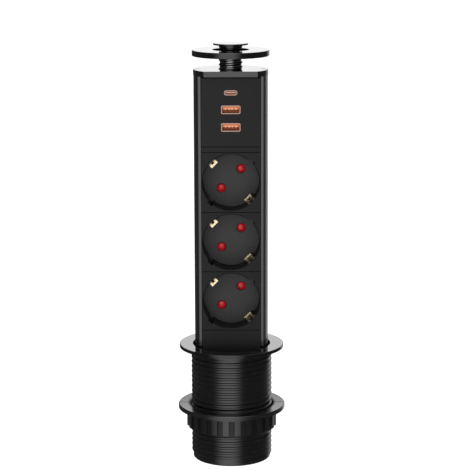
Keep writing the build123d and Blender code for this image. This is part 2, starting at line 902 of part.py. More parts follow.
def lid_stem():
    flange_top_level = lid_bottom + stem_flange_thickness
    body = threaded_rod(
        stem_root_radius, stem_thread_depth, stem_pitch, stem_base_width, stem_tip_width,
        stem_bottom, lid_bottom, stem_bottom,
    )
    body = body + disc(stem_flange_radius, lid_bottom, flange_top_level)
    neck_low = stem_bottom - neck_length
    body += disc(neck_radius, neck_low, stem_bottom)
    body -= disc(stem_bore_radius, stem_floor_top, flange_top_level + overrun)
    body -= disc(screw_radius + screw_passage_clearance, neck_low - overrun, stem_floor_top + overrun)
    body -= disc(neck_bore_radius, neck_low - overrun, stem_bottom)
    groove_radius = neck_radius - neck_groove_depth
    groove_low = clip_ring_top - clip_ring_thickness - clip_ring_fit
    body -= ring(neck_radius + overrun, groove_radius, groove_low, clip_ring_top + clip_ring_fit)
    for x, y in lid_screw_places():
        body -= lid_screw(x, y, bond_gap)
    return body


def lid_screws():
    screws = [lid_screw(x, y, 0) for x, y in lid_screw_places()]
    return Compound(children=[solid for screw in screws for solid in screw.solids()])


def stem_retainer():
    body = disc(retainer_radius, retainer_bottom, retainer_top)
    half_lug = retainer_lug_width / 2
    reach = retainer_lug_radius
    body += block(-reach, reach, -half_lug, half_lug, retainer_bottom, retainer_top)
    return body - disc(neck_radius + retainer_fit, retainer_bottom - overrun, retainer_top + overrun)


def stem_clip():
    groove_radius = neck_radius - neck_groove_depth
    low = clip_ring_top - clip_ring_thickness
    body = ring(clip_ring_radius, groove_radius + clip_ring_fit, low, clip_ring_top)
    half = clip_ring_mouth / 2
    return body - block(-half, half, 0, clip_ring_radius + overrun, low - overrun, clip_ring_top + overrun)


# Knob
def knob():
    body = disc(knob_radius, knob_under, knob_top)
    body = fillet(body.edges().filter_by(GeomType.CIRCLE), knob_edge_round)
    body += disc(knob_boss_radius, boss_under, knob_under)
    body += disc(knob_rod_radius, rod_bottom, boss_under)
    hole_top = rod_bottom + knob_screw_bite + face_gap
    return body - disc(screw_radius + screw_fit, rod_bottom - overrun, hole_top)


def knob_screw():
    head_top = stem_bottom - face_gap
    body = disc(knob_screw_head_radius, head_top - knob_screw_head_height, head_top)
    return body + disc(screw_radius, head_top, rod_bottom + knob_screw_bite)


def knob_spring():
    low = stem_floor_top + spring_end_gap
    height = rod_bottom - spring_end_gap - low
    path = Helix(height / spring_turns, height, spring_coil_radius, center=(0, 0, low))
    start = Plane(origin=path @ 0, x_dir=(1, 0, 0), z_dir=path % 0)
    return sweep(start * Circle(spring_wire_radius), path=path, is_frenet=True)


def socket_centres():
    for number in range(module_count):
        yield number + 1, spacer_bottom - (number + 1 / 2) * module_pitch


def all_nodes():
    nodes = {
        "collar_body": collar_body(),
        "flange_trim": flange_trim(),
        "desk_gasket": desk_gasket(),
        "lid_seat_ring": lid_seat_ring(),
        "guide_block": guide_block(),
        "clamp_washer": clamp_washer(),
        "clamp_nut": clamp_nut(),
        "tower_extrusion": tower_extrusion(),
        "tower_cap": tower_cap(),
        "cap_screws": cap_screws(),
        "spacer_strip": spacer_strip(),
        "lower_panel": lower_panel(),
        "usb_panel": usb_panel(),
        "usb_board": usb_board(),
        "usb_transformer": usb_transformer(),
        "usb_capacitors": usb_capacitors(),
        "usb_feed_block": usb_feed_block(),
        "live_busbar": contact_busbar(1),
        "neutral_busbar": contact_busbar(-1),
        "earth_busbar": earth_busbar(),
        "terminal_block": terminal_block(),
        "terminal_screws": terminal_screws(),
        "base_cap": base_cap(),
        "base_screws": base_screws(),
        "cable_gland": cable_gland(),
        "gland_locknut": gland_locknut(),
        "gland_seal": gland_seal(),
        "gland_nut": gland_nut(),
        "lid_disc": lid_disc(),
        "lid_stem": lid_stem(),
        "lid_screws": lid_screws(),
        "stem_retainer": stem_retainer(),
        "stem_clip": stem_clip(),
        "knob": knob(),
        "knob_screw": knob_screw(),
        "knob_spring": knob_spring(),
    }
    for name, outline, width, height, z in usb_ports():
        rectangular = outline is slab
        tongue_width = usb_a_tongue_width if rectangular else usb_c_tongue_width
        thickness = usb_a_tongue_thickness if rectangular else usb_c_tongue_thickness
        rise = usb_a_tongue_rise if rectangular else 0
        nodes[name + "_shell"] = usb_shell(outline, width, height, z)
        nodes[name + "_tongue"] = usb_tongue(outline, width, height, z, tongue_width, thickness, rise)
    for number, centre in socket_centres():
        nodes[f"socket_front_{number}"] = socket_front(centre)
        nodes[f"contact_carrier_{number}"] = contact_carrier(centre)
        nodes[f"pin_contacts_{number}"] = pin_contacts(centre)
        nodes[f"earth_clip_{number}"] = earth_clip(centre)
        nodes[f"shutter_{number}"] = shutter(centre)
    return nodes


for node_name, shape in all_nodes().items():
    export_step(shape, f"parts/{node_name}.step")

print("tower travel", tower_travel)
print("lid travel", lid_travel)
print("knob travel", knob_pop)
spring_pitch = (rod_bottom - stem_floor_top - 2 * spring_end_gap) / spring_turns
print("spring gap to itself", spring_pitch - 2 * spring_wire_radius)
for number, centre in socket_centres():
    print("socket centre", number, centre)
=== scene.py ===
"""Finish, studio and camera for a pop up desk socket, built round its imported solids."""

import json
import math

import bmesh
import bpy
from mathutils import Matrix, Vector


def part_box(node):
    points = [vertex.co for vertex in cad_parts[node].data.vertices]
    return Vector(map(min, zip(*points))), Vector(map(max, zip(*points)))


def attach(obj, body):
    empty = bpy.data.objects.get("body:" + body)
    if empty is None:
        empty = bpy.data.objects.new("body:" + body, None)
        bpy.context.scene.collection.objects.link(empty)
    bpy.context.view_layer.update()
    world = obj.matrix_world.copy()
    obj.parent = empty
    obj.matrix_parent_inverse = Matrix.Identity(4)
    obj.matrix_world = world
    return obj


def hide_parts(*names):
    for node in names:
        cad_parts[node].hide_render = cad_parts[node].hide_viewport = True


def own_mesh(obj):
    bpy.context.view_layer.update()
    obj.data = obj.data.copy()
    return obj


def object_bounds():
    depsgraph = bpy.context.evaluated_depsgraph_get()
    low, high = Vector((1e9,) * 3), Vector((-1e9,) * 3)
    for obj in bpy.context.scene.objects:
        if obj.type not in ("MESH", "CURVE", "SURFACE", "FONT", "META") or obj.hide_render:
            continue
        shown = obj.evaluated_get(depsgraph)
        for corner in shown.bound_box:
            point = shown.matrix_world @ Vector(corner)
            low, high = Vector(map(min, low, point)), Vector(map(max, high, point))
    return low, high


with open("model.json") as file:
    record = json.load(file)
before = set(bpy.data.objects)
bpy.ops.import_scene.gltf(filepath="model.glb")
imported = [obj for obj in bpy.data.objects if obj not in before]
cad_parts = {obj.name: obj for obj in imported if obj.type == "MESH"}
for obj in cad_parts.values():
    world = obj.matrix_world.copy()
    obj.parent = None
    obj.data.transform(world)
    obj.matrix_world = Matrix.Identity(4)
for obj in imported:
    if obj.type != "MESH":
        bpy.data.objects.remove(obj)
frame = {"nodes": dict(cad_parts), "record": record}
packed_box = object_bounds()

bl_info = {
    "name": "Pop up desk socket",
    "version": (1, 0, 0),
    "blender": (4, 5, 0),
    "location": "View3D > Sidebar > Desk socket",
    "description": "Finishes a pull-up power tower in its desk collar and sets up a studio round it",
    "category": "Object",
}

MILLIMETRE = 0.001


# Shader maths
class Wire:
    """One output socket of a finish. Arithmetic on it adds Math nodes."""

    def __init__(self, finish, socket):
        self.finish = finish
        self.socket = socket

    def math(self, operation, first, second=0.0):
        return self.finish.node("ShaderNodeMath", {"operation": operation}, {0: first, 1: second})

    def __add__(self, other):
        return self.math("ADD", self, other)

    def __radd__(self, other):
        return self.math("ADD", other, self)

    def __sub__(self, other):
        return self.math("SUBTRACT", self, other)

    def __rsub__(self, other):
        return self.math("SUBTRACT", other, self)

    def __mul__(self, other):
        return self.math("MULTIPLY", self, other)

    def __rmul__(self, other):
        return self.math("MULTIPLY", other, self)

    def size(self):
        return self.math("ABSOLUTE", self)

    def root(self):
        return self.math("SQRT", self)

    def rise(self, low, high):
        """Goes smoothly from 0 at low to 1 at high."""
        values = {"Value": self, "From Min": low, "From Max": high}
        return self.finish.node("ShaderNodeMapRange", {"interpolation_type": "SMOOTHSTEP"}, values)


class Finish:
    """A material in the making, with one Principled shader."""

    def __init__(self, name, colour, roughness, **constants):
        self.material = bpy.data.materials.new(name)
        self.material.use_nodes = True
        self.tree = self.material.node_tree
        self.shader = self.tree.nodes["Principled BSDF"]
        self.set("Base Color", colour)
        self.set("Roughness", roughness)
        for label, value in constants.items():
            self.set(label.replace("_", " ").title().replace("Ior", "IOR"), value)
        self.place = self.node("ShaderNodeTexCoord", output="Object")

    def node(self, kind, settings=None, values=None, output=0):
        """Adds a node, sets it up, then feeds its sockets with numbers or wires."""
        made = self.tree.nodes.new(kind)
        for label, value in (settings or {}).items():
            setattr(made, label, value)
        for key, value in (values or {}).items():
            self.feed(made.inputs[key], value)
        return Wire(self, made.outputs[output])

    def feed(self, socket, value):
        """Links a wire to a socket, or sets a number or colour on it."""
        if isinstance(value, Wire):
            self.tree.links.new(value.socket, socket)
        elif isinstance(value, tuple) and len(value) == 3 and socket.type == "RGBA":
            socket.default_value = (*value, 1.0)
        else:
            socket.default_value = value

    def set(self, label, value):
        """Feeds a socket of the shader."""
        self.feed(self.shader.inputs[label], value)

    def noise(self, scale, detail=2.0, roughness=0.5, vector=None):
        """A cloudy pattern from 0 to 1."""
        values = {"Vector": vector or self.place, "Scale": scale, "Detail": detail, "Roughness": roughness}
        return self.node("ShaderNodeTexNoise", values=values)

    def stretched(self, x, y, z):
        """Object coordinates scaled apart along the three axes."""
        return self.node("ShaderNodeMapping", values={"Vector": self.place, "Scale": (x, y, z)})

    def axes(self):
        """The three Object coordinates as wires."""
        split = self.tree.nodes.new("ShaderNodeSeparateXYZ")
        self.tree.links.new(self.place.socket, split.inputs[0])
        return [Wire(self, socket) for socket in split.outputs]

    def off_axis(self):
        """Distance from the part's axis."""
        x, y, z = self.axes()
        return (x * x + y * y).root()

    def between(self, factor, first, second):
        """A mix of two colours."""
        values = {0: factor, 6: (*first, 1.0) if isinstance(first, tuple) else first,
                  7: (*second, 1.0) if isinstance(second, tuple) else second}
        return self.node("ShaderNodeMix", {"data_type": "RGBA"}, values, output=2)

    def bump(self, height, distance):
        """Raises the surface by a pattern, at most by the distance."""
        values = {"Height": height, "Distance": distance, "Strength": 1.0}
        self.set("Normal", self.node("ShaderNodeBump", values=values))


CLOUD_SCALE = 38.0
CLOUD_CONTRAST = 0.12
DUST_LIFT = 0.0008
SMEAR_SCALE = 210.0
SMEAR_SHARES = (0.88, 0.24)
GRAIN_SCALE = 2600.0
GRAIN_HEIGHT = 0.00002
LINE_STRETCH = (60.0, 60.0, 900.0)
LINE_HEIGHT = 0.000008
LINE_SHARES = (0.8, 0.4)
TARNISH_SCALE = 90.0
TARNISH_SHARE = 0.78


def plastic(name, colour, roughness, grain=GRAIN_HEIGHT, **constants):
    """A moulded plastic: faint cloudiness, uneven gloss and a fine grain."""
    made = Finish(name, colour, roughness, **constants)
    cloud = made.noise(CLOUD_SCALE, 3.0)
    lighter = tuple(min(1.0, channel * (1 + CLOUD_CONTRAST) + DUST_LIFT) for channel in colour)
    darker = tuple(channel * (1 - CLOUD_CONTRAST) for channel in colour)
    made.tone = made.between(cloud, darker, lighter)
    made.set("Base Color", made.tone)
    smear = made.noise(SMEAR_SCALE, 4.0, 0.6)
    least, spread = SMEAR_SHARES
    made.set("Roughness", roughness * least + smear * roughness * spread)
    if grain:
        made.bump(made.noise(GRAIN_SCALE, 2.0), grain)
    return made


def metal(name, colour, roughness, grain=LINE_HEIGHT):
    """A drawn or plated metal with fine lines across the part's axis."""
    made = Finish(name, colour, roughness, metallic=1.0)
    lines = made.noise(1.0, 3.0, 0.6, made.stretched(*LINE_STRETCH))
    tarnish = made.noise(TARNISH_SCALE, 4.0, 0.6)
    darker = tuple(channel * TARNISH_SHARE for channel in colour)
    made.set("Base Color", made.between(tarnish, darker, colour))
    least, spread = LINE_SHARES
    made.set("Roughness", roughness * least + lines * roughness * spread)
    made.bump(lines, grain)
    return made


# Where the well floors begin behind the axis, and where the ribs begin off it, in metres
WELL_FLOOR_DEPTHS = (0.0014, 0.0024)
RIB_REACHES = (0.0300, 0.0309)
COAT_ROUGHNESS = 0.2


def panel_plastic(name, colour, floor_colour):
    """Fine matt plastic of the panels, with paler floors in the socket wells."""
    made = plastic(name, colour, 0.42, specular_ior_level=0.2)
    x, y, z = made.axes()
    made.set("Base Color", made.between(y.rise(*WELL_FLOOR_DEPTHS), made.tone, tuple(floor_colour)))
    return made


def ribbed_plastic(name, colour):
    """Satin plastic of the clamp, polished by hands where it stands out."""
    made = plastic(name, colour, 0.34, specular_ior_level=0.35)
    made.set("Coat Roughness", COAT_ROUGHNESS)
    made.set("Coat Weight", made.off_axis().rise(*RIB_REACHES))
    return made


FINISHES = {}


def all_finishes(look):
    """Every material of the part, by the name of its slot."""
    dark = tuple(look.body_colour)
    glossy = tuple(look.gloss_colour)
    return {
        "collar_black": plastic("collar_black", dark, 0.18, specular_ior_level=0.8),
        "flange_gloss": plastic("flange_gloss", glossy, 0.03, grain=0, specular_ior_level=0.6),
        "rubber_black": plastic("rubber_black", (0.012, 0.012, 0.012), 0.8),
        "guide_plastic": plastic("guide_plastic", dark, 0.5),
        "clamp_plastic": ribbed_plastic("clamp_plastic", dark),
        "extrusion_black": plastic("extrusion_black", dark, 0.17, specular_ior_level=0.9),
        "panel_black": panel_plastic("panel_black", dark, look.floor_colour),
        "cap_gloss": plastic("cap_gloss", glossy, 0.08, grain=0, specular_ior_level=0.75),
        "base_plastic": plastic("base_plastic", dark, 0.5),
        "lid_gloss": plastic("lid_gloss", glossy, 0.05, grain=0, specular_ior_level=0.6),
        "stem_plastic": metal("stem_plastic", (0.28, 0.28, 0.28), 0.2, grain=0.000002),
        "knob_gloss": plastic("knob_gloss", glossy, 0.06, grain=0, specular_ior_level=0.6),
        "usb_shell_metal": metal("usb_shell_metal", (0.42, 0.28, 0.24), 0.35),
        "usb_tongue_orange": plastic("usb_tongue_orange", (0.60, 0.15, 0.05), 0.4),
        "usb_tongue_peach": plastic("usb_tongue_peach", (0.80, 0.40, 0.24), 0.4),
        "board_green": plastic("board_green", (0.02, 0.16, 0.08), 0.35),
        "transformer_yellow": plastic("transformer_yellow", (0.75, 0.55, 0.08), 0.4),
        "capacitor_sleeve": plastic("capacitor_sleeve", (0.04, 0.05, 0.16), 0.3),
        "contact_brass": metal("contact_brass", (0.84, 0.71, 0.46), 0.25),
        "busbar_brass": metal("busbar_brass", (0.72, 0.52, 0.26), 0.35),
        "terminal_white": plastic("terminal_white", (0.75, 0.75, 0.73), 0.45),
        "carrier_plastic": plastic("carrier_plastic", (0.05, 0.05, 0.05), 0.5),
        "shutter_red": plastic("shutter_red", tuple(look.shutter_colour), 0.3, specular_ior_level=0.5),
        "screw_steel": metal("screw_steel", (0.12, 0.12, 0.125), 0.3),
        "plain_steel": metal("plain_steel", (0.6, 0.6, 0.6), 0.3),
        "gland_nylon": plastic("gland_nylon", dark, 0.4),
        "retainer_nylon": plastic("retainer_nylon", (0.7, 0.7, 0.66), 0.45),
    }


# Modelling, in millimetres
BEHAVIOUR = frame["record"]["behaviour"]
BODY_OF_NODE = {node: body for body, nodes in BEHAVIOUR["bodies"].items() for node in nodes}
SLOT_OF_NODE = {row["node"]: row["material_slot"] for row in frame["record"]["subparts"]}
MERGE_DISTANCE = 0.002
COPLANAR_DEGREES = 0.6
SHARP_DEGREES = 40.0
ROUNDED_DEGREES = 30.0
ROUND_STEPS = 128
THREAD_STEPS = 96
EDGE_STEPS = 3
MOUTH_STEPS = 4
RIM_STEPS = 8
CORNER_STEPS = 6
FLANK_SHARES = (0.0, 0.25, 0.5, 0.75, 1.0)
CIRCLE_REACH = 0.02


def corners(node):
    """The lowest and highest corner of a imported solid."""
    low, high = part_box(node)
    return low / MILLIMETRE, high / MILLIMETRE


def lowest(joint):
    """The lower limit of a sliding joint, in metres from rest."""
    return next(row["range_m"][0] for row in BEHAVIOUR["joints"] if row["name"] == joint)


def dress(piece, material):
    """Gives a whole object one material."""
    piece.data.materials.clear()
    piece.data.materials.append(material)
    for face in piece.data.polygons:
        face.material_index = 0


def clean(builder):
    """Merges doubled points and drops edges that carry no face."""
    bmesh.ops.remove_doubles(builder, verts=builder.verts, dist=MERGE_DISTANCE)
    bare = [edge for edge in builder.edges if not edge.link_faces]
    bmesh.ops.delete(builder, geom=bare, context="EDGES")


def settle(builder, name, like, replaced=()):
    """Makes a piece of a shape. It rides and is finished as the solid that it is like."""
    clean(builder)
    bmesh.ops.recalc_face_normals(builder, faces=builder.faces)
    bmesh.ops.scale(builder, vec=(MILLIMETRE,) * 3, verts=builder.verts)
    for face in builder.faces:
        face.smooth = True
    mesh = bpy.data.meshes.new(name)
    builder.to_mesh(mesh)
    builder.free()
    mesh.set_sharp_from_angle(angle=math.radians(SHARP_DEGREES))
    piece = bpy.data.objects.new(name, mesh)
    bpy.context.scene.collection.objects.link(piece)
    piece.modifiers.new("even_shading", "WEIGHTED_NORMAL").keep_sharp = True
    dress(piece, FINISHES[SLOT_OF_NODE[like]])
    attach(piece, BODY_OF_NODE[like])
    if replaced:
        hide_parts(*replaced)
    return piece


def round_edges(builder, width, chosen=None, steps=EDGE_STEPS):
    """Rounds the edges that turn sharply, or those of them that a test picks."""
    sharp = [
        edge for edge in builder.edges
        if len(edge.link_faces) == 2 and edge.calc_face_angle() > math.radians(ROUNDED_DEGREES)
        and (chosen is None or chosen(edge))
    ]
    bmesh.ops.bevel(
        builder, geom=sharp, offset=width, offset_type="OFFSET", segments=steps, profile=0.5,
        affect="EDGES", clamp_overlap=True, material=-1,
    )


def middle_of(edge):
    """The point halfway along an edge."""
    return (edge.verts[0].co + edge.verts[1].co) / 2


def off_axis(edge):
    """How far an edge lies from the part's axis."""
    return middle_of(edge).xy.length


def on_circle(radius, level):
    """A test that picks the edges of one circle about the axis."""
    def test(edge):
        return all(
            abs(vert.co.xy.length - radius) < CIRCLE_REACH and abs(vert.co.z - level) < CIRCLE_REACH
            for vert in edge.verts
        )
    return test


def turned(builder, outline, steps=ROUND_STEPS):
    """Adds the solid that a closed outline of (radius, level) points makes about the axis."""
    verts = [builder.verts.new((radius, 0, level)) for radius, level in outline]
    edges = [builder.edges.new((verts[index - 1], vert)) for index, vert in enumerate(verts)]
    bmesh.ops.spin(
        builder, geom=verts + edges, cent=(0, 0, 0), axis=(0, 0, 1), dvec=(0, 0, 0),
        angle=2 * math.pi, steps=steps, use_merge=True,
    )
    clean(builder)
    bmesh.ops.recalc_face_normals(builder, faces=builder.faces)


def threaded_sleeve(builder, root, depth, pitch, base, tip, low, high, start, inner):
    """Adds a tube with a soft right-hand ridge outside, which crosses the +X side at start."""
    steps = THREAD_STEPS
    first = start + (math.floor((low - start) / pitch) - 1) * pitch
    turns = math.ceil((high - first) / pitch) + 1
    flank = []
    for share in FLANK_SHARES:
        away = base / 2 + (tip - base) / 2 * share
        flank.append((root + depth * share * share * (3 - 2 * share), away))
    outline = [(root, -pitch / 2)] + [(radius, -away) for radius, away in flank]
    outline += [(radius, away) for radius, away in reversed(flank)] + [(root, pitch / 2)]
    verts = [builder.verts.new((radius, 0, first + level)) for radius, level in outline]
    edges = [builder.edges.new(pair) for pair in zip(verts, verts[1:])]
    bmesh.ops.spin(
        builder, geom=verts + edges, cent=(0, 0, 0), axis=(0, 0, 1), dvec=(0, 0, pitch / steps),
        angle=2 * math.pi, steps=steps, use_merge=False,
    )
    turn = builder.verts[:] + builder.edges[:] + builder.faces[:]
    for number in range(1, turns):
        again = bmesh.ops.duplicate(builder, geom=turn)["geom"]
        moved = [item for item in again if isinstance(item, bmesh.types.BMVert)]
        bmesh.ops.translate(builder, verts=moved, vec=(0, 0, number * pitch))
    clean(builder)
    for level, side in ((low, -1), (high, 1)):
        bmesh.ops.bisect_plane(
            builder, geom=builder.verts[:] + builder.edges[:] + builder.faces[:],
            plane_co=(0, 0, level), plane_no=(0, 0, side), clear_outer=True,
        )
    bore = bmesh.ops.create_circle(builder, segments=steps, radius=inner)["verts"]
    bmesh.ops.translate(builder, verts=bore, vec=(0, 0, low))
    ring = list({edge for vert in bore for edge in vert.link_edges})
    raised = bmesh.ops.extrude_edge_only(builder, edges=ring)["geom"]
    lifted = [item for item in raised if isinstance(item, bmesh.types.BMVert)]
    bmesh.ops.translate(builder, verts=lifted, vec=(0, 0, high - low))
    for level in (low, high):
        rim = [
            edge for edge in builder.edges
            if edge.is_boundary and all(abs(vert.co.z - level) < MERGE_DISTANCE for vert in edge.verts)
        ]
        bmesh.ops.triangle_fill(builder, use_beauty=True, use_dissolve=False, edges=rim)
    bmesh.ops.recalc_face_normals(builder, faces=builder.faces)


def rounded_outline(low, high, corner):
    """Points of a rectangle with round corners, as seen along Y."""
    middle = (low + high) / 2
    reach = Vector((high.x - middle.x - corner, 0, high.z - middle.z - corner))
    for quarter, (right, up) in enumerate(((1, 1), (-1, 1), (-1, -1), (1, -1))):
        for step in range(CORNER_STEPS + 1):
            angle = math.pi / 2 * (quarter + step / CORNER_STEPS)
            yield (middle.x + right * reach.x + corner * math.cos(angle),
                   middle.z + up * reach.z + corner * math.sin(angle))


def rounded_tube(builder, low, high, corner, wall, lip, lip_depth):
    """Adds a tube along Y with round corners, whose mouth at the low end has a lip inwards."""
    outer = [builder.verts.new((x, low.y, z)) for x, z in rounded_outline(low, high, corner)]
    rim = [builder.edges.new((outer[index - 1], vert)) for index, vert in enumerate(outer)]
    for reach in (lip_depth, high.y - low.y - lip_depth):
        raised = bmesh.ops.extrude_edge_only(builder, edges=rim)["geom"]
        moved = {item for item in raised if isinstance(item, bmesh.types.BMVert)}
        bmesh.ops.translate(builder, verts=list(moved), vec=(0, reach, 0))
        rim = [
            item for item in raised
            if isinstance(item, bmesh.types.BMEdge) and moved.issuperset(item.verts)
        ]
    bmesh.ops.recalc_face_normals(builder, faces=builder.faces)
    outer = set(builder.verts)
    bmesh.ops.solidify(builder, geom=builder.faces[:], thickness=wall)
    mouth = [vert for vert in builder.verts if vert not in outer and vert.co.y < low.y + MERGE_DISTANCE]
    half = (high - low) / 2
    narrowing = Matrix.Diagonal(((half.x - lip) / (half.x - wall), 1, (half.z - lip) / (half.z - wall), 1))
    middle = Matrix.Translation((low + high) / 2)
    bmesh.ops.transform(builder, matrix=middle @ narrowing @ middle.inverted(), verts=mouth)


def brick(builder, low, high):
    """Adds a box between two corners."""
    made = bmesh.ops.create_cube(builder, size=1.0)["verts"]
    bmesh.ops.scale(builder, vec=high - low, verts=made)
    bmesh.ops.translate(builder, verts=made, vec=(low + high) / 2)
    return made


def copy_of(node):
    """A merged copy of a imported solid, with its flat faces whole again."""
    builder = bmesh.new()
    builder.from_mesh(frame["nodes"][node].data)
    bmesh.ops.scale(builder, vec=(1 / MILLIMETRE,) * 3, verts=builder.verts)
    clean(builder)
    bmesh.ops.dissolve_limit(
        builder, angle_limit=math.radians(COPLANAR_DEGREES), use_dissolve_boundaries=False,
        verts=builder.verts, edges=builder.edges,
    )
    return builder


def softened(node, width, chosen=None):
    """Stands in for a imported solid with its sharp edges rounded."""
    builder = copy_of(node)
    round_edges(builder, width, chosen)
    return settle(builder, node + "_soft", node, (node,))


class DeskSocketLook(bpy.types.PropertyGroup):
    """Colours that a user may change."""

    body_colour: bpy.props.FloatVectorProperty(
        name="Body", description="Satin and matt black plastic and anodised metal",
        subtype="COLOR", size=3, min=0.0, max=1.0, default=(0.0045, 0.0045, 0.0048))
    gloss_colour: bpy.props.FloatVectorProperty(
        name="Gloss", description="Mirror gloss black of the flange, cap, lid and knob",
        subtype="COLOR", size=3, min=0.0, max=1.0, default=(0.003, 0.003, 0.0032))
    floor_colour: bpy.props.FloatVectorProperty(
        name="Well floors", description="Bottom of the socket wells",
        subtype="COLOR", size=3, min=0.0, max=1.0, default=(0.036, 0.035, 0.035))
    shutter_colour: bpy.props.FloatVectorProperty(
        name="Shutters", description="Red child-protection shutters",
        subtype="COLOR", size=3, min=0.0, max=1.0, default=(0.55, 0.012, 0.018))


class DeskSocketSizes(bpy.types.PropertyGroup):
    """Roundings and fits, in millimetres."""

    flange_round: bpy.props.FloatProperty(
        name="Flange rounding", description="Radius of the flange ring's outer edge", default=0.5)
    flange_mouth: bpy.props.FloatProperty(
        name="Flange mouth", description="Rounding of the flange ring's inner edge", default=0.35)
    lid_round: bpy.props.FloatProperty(
        name="Lid rounding", description="Radius of the lid's edges", default=0.35)
    knob_round: bpy.props.FloatProperty(
        name="Knob rounding", description="Radius of the finger knob's edges", default=0.25)
    fine_edge: bpy.props.FloatProperty(
        name="Fine edge", description="Rounding of small turned edges", default=0.12)
    moulded_edge: bpy.props.FloatProperty(
        name="Moulded edge", description="Rounding of moulded parts", default=0.14)
    panel_edge: bpy.props.FloatProperty(
        name="Panel edge", description="Rounding of the panels and of the extrusion", default=0.12)
    sheet_edge: bpy.props.FloatProperty(
        name="Sheet edge", description="Rounding of pressed brass parts", default=0.07)
    rib_edge: bpy.props.FloatProperty(
        name="Rib edge", description="Rounding of the clamp nut's ribs", default=0.35)
    fit: bpy.props.FloatProperty(
        name="Fit", description="Gap round a part that sits in a pocket", default=0.1)
    long_edge: bpy.props.FloatProperty(
        name="Long edge", description="Shortest edge of the extrusion that is rounded", default=4.0)
    tapped_reach: bpy.props.FloatProperty(
        name="Tapped reach", description="Radius inside which the cap's edges stay keen", default=11.0)
    nut_thread_reach: bpy.props.FloatProperty(
        name="Nut thread reach", description="Radius inside which the nut's edges stay keen", default=28.6)


class DeskSocketStudio(bpy.types.PropertyGroup):
    """Camera and light."""

    distance: bpy.props.FloatProperty(
        name="Distance", description="From the camera to the tower's axis at the picture's middle",
        subtype="DISTANCE", unit="LENGTH", default=1.271)
    look_height: bpy.props.FloatProperty(
        name="Look height", description="Level of the axis that the picture's middle shows",
        subtype="DISTANCE", unit="LENGTH", default=0.07845)
    pitch: bpy.props.FloatProperty(
        name="Pitch", description="How far the camera looks down",
        subtype="ANGLE", unit="ROTATION", default=math.radians(11.3))
    roll: bpy.props.FloatProperty(
        name="Roll", description="Lean of the picture",
        subtype="ANGLE", unit="ROTATION", default=math.radians(-0.16))
    floor_shade: bpy.props.FloatProperty(
        name="Floor", description="Share of light that the floor sends back", min=0.0, max=1.0,
        default=0.96)
    key_power: bpy.props.FloatProperty(
        name="Key", description="Power of the large soft light beside the camera", unit="POWER",
        default=10.0)
    top_power: bpy.props.FloatProperty(
        name="Top", description="Power of the soft light overhead", unit="POWER", default=14.0)
    sky_light: bpy.props.FloatProperty(
        name="Sky", description="Radiance of the even light from all round", default=1.2)
    front_light: bpy.props.FloatProperty(
        name="Front panel", description="Radiance of the soft panel that the front mirrors", default=1.5)
    front_low_share: bpy.props.FloatProperty(
        name="Front low share", description="What is left of the front panel at its foot", default=0.75)
    front_turn: bpy.props.FloatProperty(
        name="Front turn", description="Where the front panel stands, counted from the front",
        subtype="ANGLE", unit="ROTATION", default=math.radians(-9))
    front_core: bpy.props.FloatProperty(
        name="Front core", description="Half of the width of the panel's brightest part",
        subtype="ANGLE", unit="ROTATION", default=math.radians(10))
    front_reach: bpy.props.FloatProperty(
        name="Front reach", description="Half of the width at which the front panel fades out",
        subtype="ANGLE", unit="ROTATION", default=math.radians(46))
    back_light: bpy.props.FloatProperty(
        name="Back panel", description="Radiance of the panel that level surfaces mirror", default=1.8)
    back_reach: bpy.props.FloatProperty(
        name="Back reach", description="Where the back panel begins, counted from the front",
        subtype="ANGLE", unit="ROTATION", default=math.radians(163))
    rim_light: bpy.props.FloatProperty(
        name="Rim light", description="Radiance of the strip at the back right", default=0.8)
    rim_turn: bpy.props.FloatProperty(
        name="Rim turn", description="Where that strip begins, counted from the front",
        subtype="ANGLE", unit="ROTATION", default=math.radians(125))
    over_light: bpy.props.FloatProperty(
        name="Overhead panel", description="Radiance of the panel right above the part", default=0.9)
    dark_light: bpy.props.FloatProperty(
        name="Dark parts", description="Radiance of the dark parts of the surround", default=0.06)


class DESKSOCKET_OT_finishes(bpy.types.Operator):
    """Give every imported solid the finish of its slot"""

    bl_idname = "desksocket.finishes"
    bl_label = "Finishes"

    def execute(self, context):
        for slot, made in all_finishes(context.scene.desk_socket_look).items():
            FINISHES[slot] = made.material
        for node, slot in SLOT_OF_NODE.items():
            dress(frame["nodes"][node], FINISHES[slot])
        return {"FINISHED"}


# Collar
COLLAR_PLATE = 1.0
COLLAR_SPIGOT_RADIUS = 27.95
COLLAR_SPIGOT_DEPTH = 3.4
COLLAR_BORE = 25.8
COLLAR_RECESS = 26.7
COLLAR_RECESS_DEPTH = 2.9
BARREL_RADIUS = 26.9
BARREL_CHAMFER = 0.6
BARREL_THREAD_LOW = -75.4
BARREL_THREAD = {"root": 27.0, "depth": 0.9, "pitch": 3.5, "base": 2.3, "tip": 0.7}
SLEEVE_WALL = 0.5
SLEEVE_LAP = 0.2


